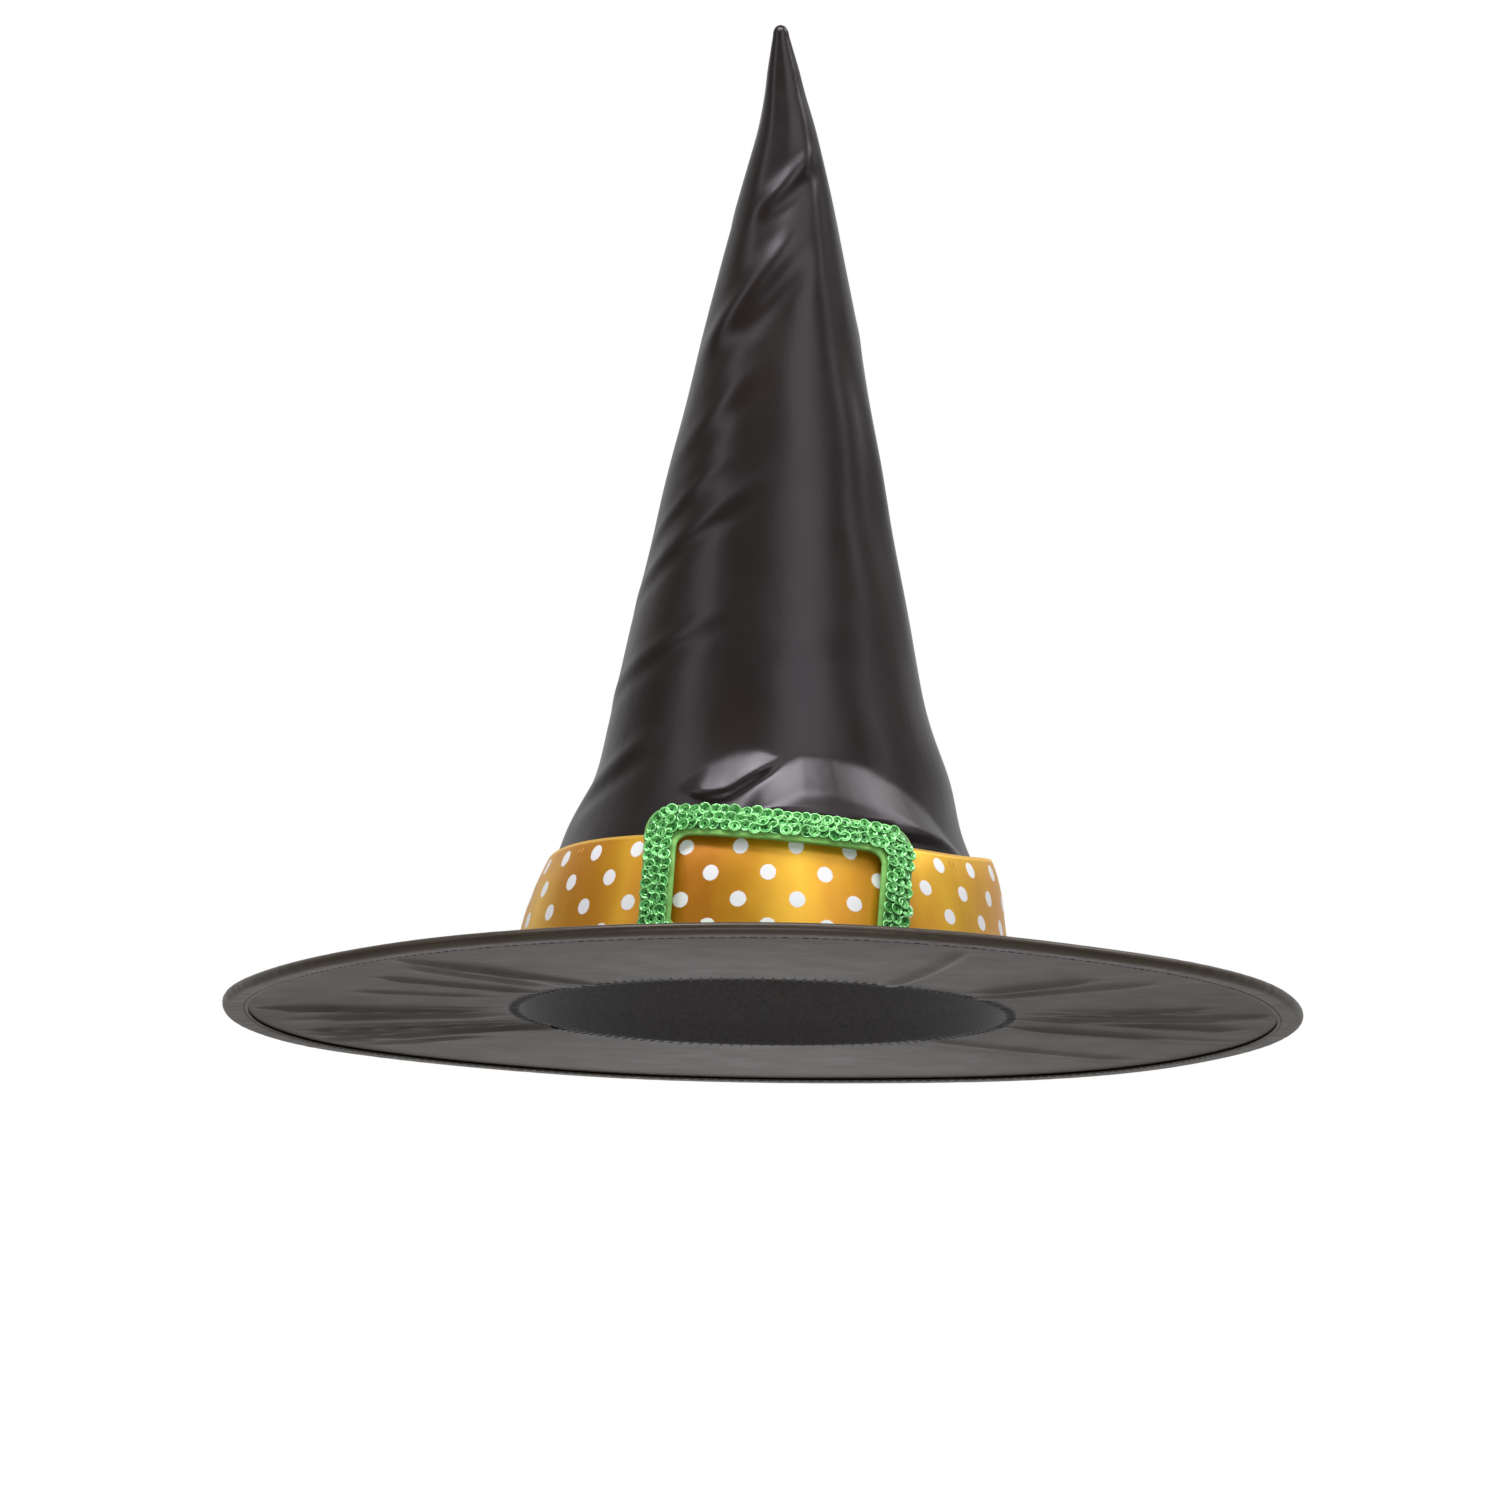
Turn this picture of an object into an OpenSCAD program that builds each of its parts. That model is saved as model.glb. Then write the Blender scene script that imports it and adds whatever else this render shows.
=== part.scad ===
// Child's witch hat: satin cone and brim, spotted ribbon band, sequinned buckle.
// The hat stands on its brim at z = 0, the buckle faces -Y, millimetres.

/* [Overall size] */
// Outside diameter of the brim
brim_diameter = 380; // [300:5:460]
// Height of the point above the brim's underside
hat_height = 350; // [260:5:430]
// Radius of the head opening, inside the sweatband
head_opening_radius = 85; // [80:0.5:98]

/* [Crown] */
// Extra radius where the cone flares out to the brim
flare = 12; // [6:0.5:18]
// Height of the middle of the flare
flare_height = 56; // [40:1:72]
// How quickly the flare turns in
flare_softness = 9; // [6:0.5:14]
// Fullness of the cone, 1 is straight
cone_fullness = 0.93; // [0.85:0.01:1]
// Thickness of the satin
satin_thickness = 0.4; // [0.3:0.05:0.8]
// Thickness of the felt interlining
interlining_thickness = 1.2; // [0.8:0.1:2]
// Height at which the tip folds over
fold_height = 215; // [150:1:260]
// Half the height of the zone that bends
fold_half = 25; // [20:1:40]

/* [Brim] */
// Thickness of the felt board in the brim
stiffener_thickness = 1.5; // [1:0.1:3]
// Diameter of the round boning in the brim's edge
hoop_diameter = 1.8; // [1.2:0.1:2.2]
// Width of the binding on each side of the brim
binding_width = 9; // [6:0.5:14]
// Thickness of the binding strip
binding_thickness = 0.5; // [0.3:0.1:0.8]
// Length of the sleeve that joins the boning's ends
sleeve_length = 24; // [12:1:40]

/* [Sweatband] */
// Thickness of the sweatband
sweatband_thickness = 0.8; // [0.5:0.1:1.5]
// Height of the sweatband
sweatband_height = 26; // [18:1:34]
// Height of its straight lower part, which sets the head size
sweatband_straight = 8; // [5:0.5:10]

/* [Hat band] */
// Width of the ribbon
band_width = 50; // [35:1:60]
// Thickness of the ribbon
band_thickness = 0.6; // [0.4:0.1:1]
// How much the ribbon stands away from the crown per mm of height
band_stand = 0.04; // [0:0.01:0.08]
// Length of the lap at the back
lap_length = 22; // [12:1:40]

/* [Buckle] */
// Width of the buckle, straight across
buckle_width = 94; // [70:1:110]
// Height of the buckle
buckle_height = 55; // [45:1:62]
// Width of the buckle's bars
bar_width = 11; // [8:0.5:14]
// Outer corner radius
buckle_corner = 10; // [4:0.5:16]
// Thickness of the foam
foam_thickness = 4.5; // [3:0.5:6]
// Lean of the buckle to its right, degrees
buckle_tilt = 4; // [0:0.5:6]
// Turn of the buckle round the crown, degrees
buckle_turn = 3; // [-6:0.5:6]
// Width of the foam lip that stays bare inside the bars
bare_lip = 2.5; // [1:0.5:4]
// Diameter of a sequin
sequin_diameter = 3.8; // [3:0.1:5]
// Thickness of a sequin
sequin_thickness = 0.3; // [0.2:0.05:0.5]

/* [Stitches] */
// Number of stitches round the brim
brim_stitch_count = 108; // [72:6:180]
// Number of stitches round the sweatband
sweatband_stitch_count = 72; // [48:6:120]
// Spacing of the stitches up the back seam
seam_pitch = 7; // [5:0.5:12]
// Thread diameter
thread = 0.4; // [0.3:0.05:0.6]

/* [Hidden] */
$fn = 96;

// clearance between neighbouring layers
gap = 0.25;

// heights of the brim's layers, from the table up
under_z = binding_thickness + gap;
board_z = under_z + satin_thickness + gap;
top_z = board_z + stiffener_thickness + gap;
flange_z = top_z + satin_thickness + gap;
edge_height = flange_z + binding_thickness;
crown_z = flange_z;

brim_radius = brim_diameter / 2;
edge_half = edge_height / 2;
hoop_centre = brim_radius - edge_half;
brim_hole = head_opening_radius + sweatband_thickness + 0.4;
sleeve_bore = hoop_diameter / 2 + 0.1;
sleeve_outer = sleeve_bore + 0.35;
cloth_radius = hoop_centre - sleeve_outer - gap;

// the cone's radius follows from the head opening: sweatband, felt and satin stack outwards
wall_stack = satin_thickness + gap + interlining_thickness;
satin_at_head = head_opening_radius + sweatband_thickness + gap + wall_stack + 0.1;
sweatband_z = under_z + 0.1;
head_z = sweatband_z + sweatband_straight;
apex_z = hat_height + 3;
cone_radius = (satin_at_head - flare_part(head_z)) / pow(1 - head_z / apex_z, cone_fullness);

function flare_part(z) = flare / (1 + exp((z - flare_height) / flare_softness));
function cone_part(z) = cone_radius * pow(max(1 - z / apex_z, 0), cone_fullness);

// outer radius of the satin at height z
function crown_r(z) = cone_part(z) + flare_part(z);

// inner faces of the layers inside the satin
function felt_outer(z) = crown_r(z) - satin_thickness - gap;
function felt_inner(z) = felt_outer(z) - interlining_thickness;

// the ribbon stands further off the crown towards its top edge
band_z = crown_z + gap;
band_top = band_z + band_width * 0.975;
function band_inner(z) = crown_r(z) + 0.4 + band_stand * (z - band_z);
function band_outer(z) = band_inner(z) + band_thickness;

// the buckle's back follows the ribbon and carries on above it
dab_room = 0.8;
function buckle_back(z) = band_outer(z) + dab_room;
function buckle_face(z) = buckle_back(z) + foam_thickness;

// the buckle clears the brim at its lowest corner
half_w = buckle_width / 2;
half_h = buckle_height / 2;
corner_drop = (half_h - buckle_corner) * cos(buckle_tilt)
    + (half_w - buckle_corner) * sin(buckle_tilt) + buckle_corner;
buckle_z = flange_z + gap + corner_drop;

// angle of the wall from upright at height z, degrees
function lean(z) = atan((crown_r(z - 1) - crown_r(z + 1)) / 2);
function band_lean(z) = atan((band_outer(z - 1) - band_outer(z + 1)) / 2);

fold_low = fold_height - fold_half;
fold_high = fold_height + fold_half;
tip_round = 2.4;

// the rounded point is a quarter circle on top of the cone
point_z = hat_height - tip_round;
point_r = crown_r(point_z);

// heights from low to high in even steps no longer than step
function heights(low, high, step) =
    let (count = ceil((high - low) / step))
    [for (i = [0:count]) low + (high - low) * i / count];

satin_black = "#1d1a22";
felt_black = "#26262a";
ribbon_orange = "#e0a01e";
lip_green = "#8cbe6e";
sequin_green = "#32b446";
thread_black = "#141318";
thread_orange = "#d2921e";

// a shell of revolution between two lists of [radius, height]
module turned(outer_path, inner_path) {
    rotate_extrude()
        polygon(concat(outer_path, [for (i = [len(inner_path) - 1:-1:0]) inner_path[i]]));
}

// a flat ring
module ring(inner, outer, z, thickness) {
    translate([0, 0, z])
        rotate_extrude()
            translate([inner, 0])
                square([outer - inner, thickness]);
}

// the satin wall between two heights
module satin_wall(low, high) {
    steps = heights(low, high, 7);
    turned([for (z = steps) [crown_r(z), z]], [for (z = steps) [crown_r(z) - satin_thickness, z]]);
}

// the felt wall between two heights
module felt_wall(low, high) {
    steps = heights(low, high, 7);
    turned([for (z = steps) [felt_outer(z), z]], [for (z = steps) [felt_inner(z), z]]);
}

// one stitch lying along X
module stitch(length) {
    rotate([0, 90, 0])
        cylinder(h = length, d = thread, center = true, $fn = 16);
}

// stitches up the back seam, lying on the satin
module seam_row(low, high) {
    for (z = [low:seam_pitch:high])
        translate([0, crown_r(z) + thread / 2 + 0.1, z])
            rotate([lean(z), 0, 0])
                cylinder(h = seam_pitch * 0.6, d = thread, center = true, $fn = 16);
}

// the buckle's frame as a flat outline, inset from the outer edge
module frame_outline(outer_inset, bar) {
    difference() {
        rounded(buckle_width - 2 * outer_inset, buckle_height - 2 * outer_inset,
            buckle_corner - outer_inset);
        rounded(buckle_width - 2 * outer_inset - 2 * bar, buckle_height - 2 * outer_inset - 2 * bar, 2);
    }
}

// a rectangle with round corners, centred
module rounded(w, h, r) {
    square([w - 2 * r, h], center = true);
    square([w, h - 2 * r], center = true);
    for (x = [-1, 1], y = [-1, 1])
        translate([x * (w / 2 - r), y * (h / 2 - r)])
            circle(r, $fn = 48);
}

// cuts a curved shell to the buckle's outline
module buckle_layer(inner_offset, thickness, outer_inset, bar) {
    low = flange_z + gap / 2;
    high = buckle_z + corner_drop + 1;
    steps = heights(low, high, 7);
    rotate([0, 0, buckle_turn])
        intersection() {
            turned([for (z = steps) [buckle_back(z) + inner_offset + thickness, z]],
                [for (z = steps) [buckle_back(z) + inner_offset, z]]);
            translate([0, -head_opening_radius / 2, buckle_z])
                rotate([90, 0, 0])
                    rotate(-buckle_tilt)
                        linear_extrude(head_opening_radius)
                            frame_outline(outer_inset, bar);
        }
}

// puts a child on the buckle's face at flat place x, y of the frame
module on_face(x, y, offset) {
    flat_x = x * cos(buckle_tilt) + y * sin(buckle_tilt);
    flat_z = y * cos(buckle_tilt) - x * sin(buckle_tilt) + buckle_z;
    r = buckle_face(flat_z) + offset;
    rotate([0, 0, buckle_turn + asin(flat_x / r)])
        translate([0, -r, flat_z])
            rotate([90 - band_lean(flat_z), 0, 0])
                children();
}

module sequin() {
    cylinder(h = sequin_thickness, d = sequin_diameter, $fn = 24);
}

module crown_satin_lower() {
    color(satin_black)
        satin_wall(crown_z + gap, fold_low);
}

module crown_satin_bend() {
    color(satin_black)
        satin_wall(fold_low + gap, fold_high - gap);
}

module crown_satin_tip() {
    hollow_top = point_z - 6;
    outer = heights(fold_high, point_z, 7);
    inner = heights(fold_high, hollow_top, 7);
    color(satin_black)
        rotate_extrude()
            polygon(concat([for (z = outer) [crown_r(z), z]],
                [for (a = [15:15:90]) [point_r * cos(a), point_z + tip_round * sin(a)]],
                [[0, hollow_top + 3]],
                [for (i = [len(inner) - 1:-1:0]) [crown_r(inner[i]) - satin_thickness, inner[i]]]));
}

module crown_interlining_lower() {
    color(felt_black)
        felt_wall(crown_z + gap, fold_low);
}

module crown_interlining_bend() {
    color(felt_black)
        felt_wall(fold_low + gap, fold_high - gap);
}

module crown_interlining_tip() {
    color(felt_black)
        felt_wall(fold_high, hat_height - 18);
}

module crown_seam_stitching() {
    color(thread_black)
        seam_row(band_top + 8, fold_low - 5);
}

module tip_seam_stitching() {
    color(thread_black)
        seam_row(fold_high + 5, hat_height - 24);
}

module brim_top_satin() {
    color(satin_black)
        ring(brim_hole, cloth_radius, top_z, satin_thickness);
}

module brim_stiffener() {
    color(felt_black)
        ring(brim_hole, cloth_radius, board_z, stiffener_thickness);
}

module brim_underside_satin() {
    color(satin_black)
        ring(brim_hole, cloth_radius, under_z, satin_thickness);
}

// a strip folded round the edge: two flanges and a half-round bend
module binding_section(inset) {
    flange_in = brim_radius - binding_width;
    translate([flange_in - inset, inset])
        square([hoop_centre - flange_in + inset, edge_height - 2 * inset]);
    translate([hoop_centre, edge_half])
        circle(edge_half - inset, $fn = 48);
}

module brim_edge_binding() {
    color(satin_black)
        rotate_extrude()
            difference() {
                binding_section(0);
                binding_section(binding_thickness);
            }
}

module brim_hoop() {
    gap_angle = 1.2;
    color("#e8e6df")
        rotate([0, 0, 90 + gap_angle / 2])
            rotate_extrude(angle = 360 - gap_angle)
                translate([hoop_centre, edge_half])
                    circle(d = hoop_diameter, $fn = 32);
}

module brim_hoop_sleeve() {
    angle = sleeve_length / hoop_centre * 180 / PI;
    color("#d9d7cf")
        rotate([0, 0, 90 - angle / 2])
            rotate_extrude(angle = angle)
                translate([hoop_centre, edge_half])
                    difference() {
                        circle(sleeve_outer, $fn = 32);
                        circle(sleeve_bore, $fn = 32);
                    }
}

module brim_stitching() {
    r = brim_radius - binding_width - thread / 2 - 0.3;
    pitch = 360 / brim_stitch_count;
    length = 2 * PI * r / brim_stitch_count * 0.6;
    color(thread_black)
        for (i = [0:brim_stitch_count - 1])
            rotate([0, 0, i * pitch])
                translate([0, r, under_z - thread / 2 - 0.05])
                    stitch(length);
}

// straight at the head opening, then leaning in with the wall
module sweatband() {
    leaning = heights(head_z, sweatband_z + sweatband_height, 6);
    inner = concat([[head_opening_radius, sweatband_z], [head_opening_radius, head_z]],
        [for (i = [1:len(leaning) - 1])
            [felt_inner(leaning[i]) - gap - sweatband_thickness, leaning[i]]]);
    color("#3a3740")
        turned([for (p = inner) [p[0] + sweatband_thickness, p[1]]], inner);
}

module sweatband_stitching() {
    r = brim_hole + 1.6;
    color(thread_black)
        for (i = [0:sweatband_stitch_count - 1])
            rotate([0, 0, i * 360 / sweatband_stitch_count])
                translate([r, 0, under_z - thread / 2 - 0.05])
                    stitch(3);
}

module hat_band() {
    steps = heights(band_z, band_top, 5);
    lap_angle = lap_length / band_outer(band_z) * 180 / PI;
    color(ribbon_orange)
        union() {
            turned([for (z = steps) [band_outer(z), z]], [for (z = steps) [band_inner(z), z]]);
            rotate([0, 0, 90])
                rotate_extrude(angle = lap_angle)
                    polygon(concat([for (z = steps) [band_outer(z) + band_thickness, z]],
                        [for (i = [len(steps) - 1:-1:0])
                            [band_outer(steps[i]) - band_thickness / 2, steps[i]]]));
        }
}

// thread tacks under the ribbon's top edge, none behind the buckle
module hat_band_tacks() {
    z = band_top - 4;
    color(thread_orange)
        for (turn = [55:50:305])
            rotate([0, 0, turn])
                translate([0, -band_outer(z) - thread / 2 - 0.1, z])
                    rotate([-band_lean(z), 0, 0])
                        cylinder(h = 3, d = thread, center = true, $fn = 16);
}

module buckle_foam() {
    color(lip_green)
        buckle_layer(0, foam_thickness, 0, bar_width);
}

module buckle_sequin_cloth() {
    color("#28823c")
        buckle_layer(foam_thickness + 0.15, 0.5, 0.5, bar_width - bare_lip);
}

// two rows of sequins round the frame, spaced evenly along each bar
module buckle_sequins() {
    row_gap = (bar_width - bare_lip - 0.5) / 2;
    color(sequin_green)
        for (row = [0:1]) {
            inset = 0.5 + row_gap * (row + 0.5);
            run_x = buckle_width - 2 * inset;
            run_y = buckle_height - 2 * inset;
            count_x = floor(run_x / (sequin_diameter + 0.5));
            count_y = floor(run_y / (sequin_diameter + 0.5));
            skip = row == 0 ? 1 : 0;
            for (side = [-1, 1], i = [skip:count_x - skip])
                on_face(run_x * (i / count_x - 0.5), side * run_y / 2, 1.15)
                    sequin();
            for (side = [-1, 1], i = [1 + skip:count_y - 1 - skip])
                on_face(side * run_x / 2, run_y * (i / count_y - 0.5), 1.15)
                    sequin();
        }
}

// glue dabs between the ribbon and the buckle's side bars
module buckle_glue_dabs() {
    steps = heights(flange_z + gap, band_top, 7);
    color("#e9e4d2")
        rotate([0, 0, buckle_turn])
            intersection() {
                turned([for (z = steps) [band_outer(z) + dab_room - 0.15, z]],
                    [for (z = steps) [band_outer(z) + 0.15, z]]);
                for (x = [-1, 1], z = [buckle_z - 12, buckle_z + 8])
                    translate([x * (half_w - bar_width / 2), 0, z])
                        rotate([90, 0, 0])
                            cylinder(h = head_opening_radius * 1.5, d = 7, $fn = 32);
            }
}

crown_satin_lower();
crown_satin_bend();
crown_satin_tip();
crown_interlining_lower();
crown_interlining_bend();
crown_interlining_tip();
crown_seam_stitching();
tip_seam_stitching();
brim_top_satin();
brim_stiffener();
brim_underside_satin();
brim_edge_binding();
brim_hoop();
brim_hoop_sleeve();
brim_stitching();
sweatband();
sweatband_stitching();
hat_band();
hat_band_tacks();
buckle_foam();
buckle_sequin_cloth();
buckle_sequins();
buckle_glue_dabs();
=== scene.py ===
"""Looks for a child's witch hat: satin crown and brim, spotted ribbon, sequinned foam buckle.

Metres, the CAD frame: +Z up, the buckle faces -Y. An azimuth is counted from the front towards +X.
"""

import math

import bmesh
import bpy
import numpy as np
from mathutils import Euler, Matrix, Vector


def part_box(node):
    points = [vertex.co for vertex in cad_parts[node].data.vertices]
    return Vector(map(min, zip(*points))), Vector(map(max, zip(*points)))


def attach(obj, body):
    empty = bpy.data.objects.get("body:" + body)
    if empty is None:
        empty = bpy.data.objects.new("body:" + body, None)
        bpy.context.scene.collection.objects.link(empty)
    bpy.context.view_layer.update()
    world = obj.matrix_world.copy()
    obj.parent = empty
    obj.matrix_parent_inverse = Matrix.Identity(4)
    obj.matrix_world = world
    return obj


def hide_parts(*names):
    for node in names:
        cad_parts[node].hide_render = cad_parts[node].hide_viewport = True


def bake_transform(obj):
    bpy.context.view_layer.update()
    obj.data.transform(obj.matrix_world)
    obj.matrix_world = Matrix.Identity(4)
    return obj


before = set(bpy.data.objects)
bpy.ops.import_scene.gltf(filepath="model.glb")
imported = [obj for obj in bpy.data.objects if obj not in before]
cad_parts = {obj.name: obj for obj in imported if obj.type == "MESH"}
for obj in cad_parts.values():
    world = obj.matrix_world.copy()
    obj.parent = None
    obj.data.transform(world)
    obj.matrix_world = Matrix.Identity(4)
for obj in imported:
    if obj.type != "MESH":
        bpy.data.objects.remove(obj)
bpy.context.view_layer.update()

MM = 0.001
TAU = 2 * math.pi
rng = np.random.default_rng(7)

# ---------------------------------------------------------------- sizes from the frame

HAT_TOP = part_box("crown_satin_tip")[1].z
CROWN_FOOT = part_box("crown_satin_lower")[0].z
BRIM_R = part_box("brim_edge_binding")[1].x
EDGE_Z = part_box("brim_edge_binding")[1].z
UNDER_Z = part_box("brim_underside_satin")[0].z
BOARD_Z = [p.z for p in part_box("brim_stiffener")]
TOP_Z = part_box("brim_top_satin")[1].z
HOLE_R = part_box("sweatband")[1].x + 0.4 * MM
BAND_LOW, BAND_TOP = [p.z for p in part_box("hat_band")]
SWEAT_LOW, SWEAT_TOP = [p.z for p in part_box("sweatband")]

SATIN = 0.4 * MM
FELT = 1.2 * MM
GAP = 0.25 * MM
BINDING_W = 9 * MM
RIBBON = 0.6 * MM
RIBBON_STAND = 0.04
BUCKLE_ROOM = 0.8 * MM
FOAM = 4.5 * MM
BUCKLE_W, BUCKLE_H = 94 * MM, 55 * MM
BUCKLE_Z = sum(p.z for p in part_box("buckle_foam")) / 2
BAR, LIP = 11 * MM, 2.5 * MM
BUCKLE_CORNER = 10 * MM
BUCKLE_TILT, BUCKLE_TURN = math.radians(4), math.radians(3)
HEAD_R = 85 * MM
THREAD = 0.42 * MM


def profile_of(*nodes):
    """Outer radius of turned CAD nodes against height, smoothed over a few millimetres."""
    verts = [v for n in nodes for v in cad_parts[n].data.vertices]
    outwards = [v.co for v in verts if v.normal.x * v.co.x + v.normal.y * v.co.y > 0]
    co = np.array(outwards)
    r = np.hypot(co[:, 0], co[:, 1])
    heights = np.unique(np.round(co[:, 2], 5))
    radii = np.array([r[np.abs(co[:, 2] - h) < 2e-5].max() for h in heights])
    fine = np.arange(heights[0] - 0.02, heights[-1] + 0.02, 0.0005)
    slope = (radii[1] - radii[0]) / (heights[1] - heights[0])
    raw = np.interp(fine, heights, radii)
    raw = np.where(fine < heights[0], radii[0] + slope * (fine - heights[0]), raw)
    kernel = np.exp(-0.5 * (np.arange(-24, 25) * 0.5 / 3.2) ** 2)
    smooth = np.convolve(raw, kernel / kernel.sum(), mode="same")
    # the cloth point is blunter than the turned cone: straight for 20 mm, then round
    start, last = HAT_TOP - 25 * MM, HAT_TOP - 4 * MM
    point = np.interp(fine, [start, last], [np.interp(start, fine, raw) + 0.2 * MM, 2.9 * MM])
    round_off = np.sqrt(np.clip(1 - (np.clip(fine - last, 0, None) / (4 * MM)) ** 2, 0, 1))
    share = np.clip((fine - start) / (8 * MM), 0, 1)
    return fine, (smooth * (1 - share) + point * share) * round_off


PROFILE = profile_of("crown_satin_lower", "crown_satin_bend", "crown_satin_tip")


def crown_r(z):
    return np.interp(z, *PROFILE)


def ribbon_in(z):
    return crown_r(z) + 0.4 * MM + RIBBON_STAND * (z - BAND_LOW)


def buckle_back(z):
    return ribbon_in(z) + RIBBON + BUCKLE_ROOM


# ---------------------------------------------------------------- shape helpers


def smooth_step(x, low, high):
    t = np.clip((x - low) / (high - low), 0, 1)
    return t * t * (3 - 2 * t)


def bell(x, centre, width):
    return np.exp(-(((x - centre) / width) ** 2))


def turn_between(a, b):
    """Smallest signed angle from b to a."""
    return (a - b + math.pi) % TAU - math.pi


def wobble(x, y, seed, count=5, scale=1.0):
    """A smooth repeatable noise around a ring: a few sine waves of azimuth x and height y."""
    g = np.random.default_rng(seed)
    out = 0
    for _ in range(count):
        k = g.integers(1, 7)
        out = out + g.normal() / k * np.sin(
            k * x + g.uniform(0, TAU) + y * g.uniform(-1, 1) * 60 * scale
        )
    return out / count**0.5


def at(azimuth, r, z, shift=0.0):
    return np.stack([shift + r * np.sin(azimuth), -r * np.cos(azimuth), z], axis=-1)


def mesh_object(name, verts, faces, smooth=True):
    mesh = bpy.data.meshes.new(name)
    mesh.from_pydata([tuple(v) for v in verts], [], faces)
    mesh.update()
    if smooth:
        mesh.polygons.foreach_set("use_smooth", [True] * len(mesh.polygons))
    obj = bpy.data.objects.new(name, mesh)
    bpy.context.scene.collection.objects.link(obj)
    return obj


def sheet_object(name, points, closed=True, uv=None):
    """A grid of points, rows up and columns round, as a mesh; closed joins the last column to the first."""
    rows, cols = points.shape[:2]
    verts = points.reshape(-1, 3)
    span = cols if closed else cols - 1
    i, j = np.meshgrid(np.arange(rows - 1), np.arange(span), indexing="ij")
    a = i * cols + j
    b = i * cols + (j + 1) % cols
    faces = np.stack([a, b, b + cols, a + cols], axis=-1).reshape(-1, 4)
    obj = mesh_object(name, verts, faces.tolist())
    if uv is not None:
        layer = obj.data.uv_layers.new(name="Cloth")
        u, v = uv
        corners = np.stack(
            [
                np.stack([u[j], v[i]], -1),
                np.stack([u[j + 1], v[i]], -1),
                np.stack([u[j + 1], v[i + 1]], -1),
                np.stack([u[j], v[i + 1]], -1),
            ],
            axis=-2,
        ).reshape(-1, 2)
        layer.data.foreach_set("uv", corners.astype(np.float32).ravel())
    return obj


def thicken(obj, thickness, offset=-1.0):
    mod = obj.modifiers.new("thickness", "SOLIDIFY")
    mod.thickness = thickness
    mod.offset = offset
    mod.use_even_offset = True
    apply_modifiers(obj)


def apply_modifiers(obj):
    graph = bpy.context.evaluated_depsgraph_get()
    mesh = bpy.data.meshes.new_from_object(obj.evaluated_get(graph))
    obj.modifiers.clear()
    obj.data = mesh


def finish_piece(obj, material, nodes=(), body="hat"):
    obj.data.materials.clear()
    obj.data.materials.append(material)
    if nodes:
        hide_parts(*nodes)
    if body:
        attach(obj, body)
    return obj


# ---------------------------------------------------------------- materials


class Nodes:
    """Short names for building one material's node tree."""

    def __init__(self, name):
        self.material = bpy.data.materials.new(name)
        self.material.use_nodes = True
        self.tree = self.material.node_tree
        self.shader = self.tree.nodes["Principled BSDF"]
        self.coords = self.add("ShaderNodeTexCoord")

    def add(self, kind, **values):
        node = self.tree.nodes.new(kind)
        for key, value in values.items():
            if key in node.inputs:
                node.inputs[key].default_value = value
            else:
                setattr(node, key, value)
        return node

    def link(self, out, into):
        self.tree.links.new(out, into)

    def set(self, **values):
        for key, value in values.items():
            self.shader.inputs[key.replace("_", " ")].default_value = value

    def noise(self, scale, detail=3, source=None, stretch=None):
        node = self.add("ShaderNodeTexNoise", Scale=scale, Detail=detail)
        out = source or self.coords.outputs["Object"]
        if stretch:
            place = self.add("ShaderNodeMapping")
            place.inputs["Scale"].default_value = stretch
            self.link(out, place.inputs["Vector"])
            out = place.outputs["Vector"]
        self.link(out, node.inputs["Vector"])
        return node.outputs["Fac"]

    def math(self, operation, a, b=None, c=None):
        node = self.add("ShaderNodeMath", operation=operation)
        for i, value in enumerate((a, b, c)):
            if value is None:
                continue
            if isinstance(value, (int, float)):
                node.inputs[i].default_value = value
            else:
                self.link(value, node.inputs[i])
        return node.outputs[0]

    def ramp(self, fac, stops):
        node = self.add("ShaderNodeValToRGB")
        ramp = node.color_ramp
        while len(ramp.elements) < len(stops):
            ramp.elements.new(0.5)
        for element, (place, colour) in zip(ramp.elements, stops):
            element.position = place
            element.color = (*colour, 1)
        self.link(fac, node.inputs["Fac"])
        return node.outputs["Color"]

    def bump(self, height, strength, distance, normal=None):
        node = self.add("ShaderNodeBump", Strength=strength, Distance=distance)
        self.link(height, node.inputs["Height"])
        if normal:
            self.link(normal, node.inputs["Normal"])
        return node.outputs["Normal"]

    def colour(self, out):
        self.link(out, self.shader.inputs["Base Color"])

    def roughness(self, fac, low, high):
        node = self.add("ShaderNodeMapRange")
        node.inputs["To Min"].default_value = low
        node.inputs["To Max"].default_value = high
        self.link(fac, node.inputs["Value"])
        self.link(node.outputs["Result"], self.shader.inputs["Roughness"])

    def normal(self, out):
        self.link(out, self.shader.inputs["Normal"])
        return self.material


def satin_material(name, dark, light, gloss, rough=(0.25, 0.37)):
    n = Nodes(name)
    n.set(Anisotropic=0.4, Specular_IOR_Level=0.4, Specular_Tint=(*gloss, 1))
    cloudy = n.noise(22, 4)
    n.colour(n.ramp(cloudy, [(0.3, dark), (0.72, light)]))
    n.roughness(n.noise(60, 4), *rough)
    crumple = n.noise(75, 2, stretch=(1.0, 1.0, 0.45))
    threads = n.noise(1500, 2, stretch=(1.0, 1.0, 0.12))
    soft = n.bump(crumple, 0.2, 1.2 * MM)
    return n.normal(n.bump(threads, 0.12, 0.12 * MM, soft))


def felt_material(name, dark, light):
    n = Nodes(name)
    n.set(Sheen_Weight=0.3, Sheen_Roughness=0.6)
    n.colour(n.ramp(n.noise(900, 5), [(0.3, dark), (0.7, light)]))
    n.roughness(n.noise(200, 3), 0.85, 0.98)
    return n.normal(n.bump(n.noise(1400, 5), 0.6, 0.4 * MM))


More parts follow.
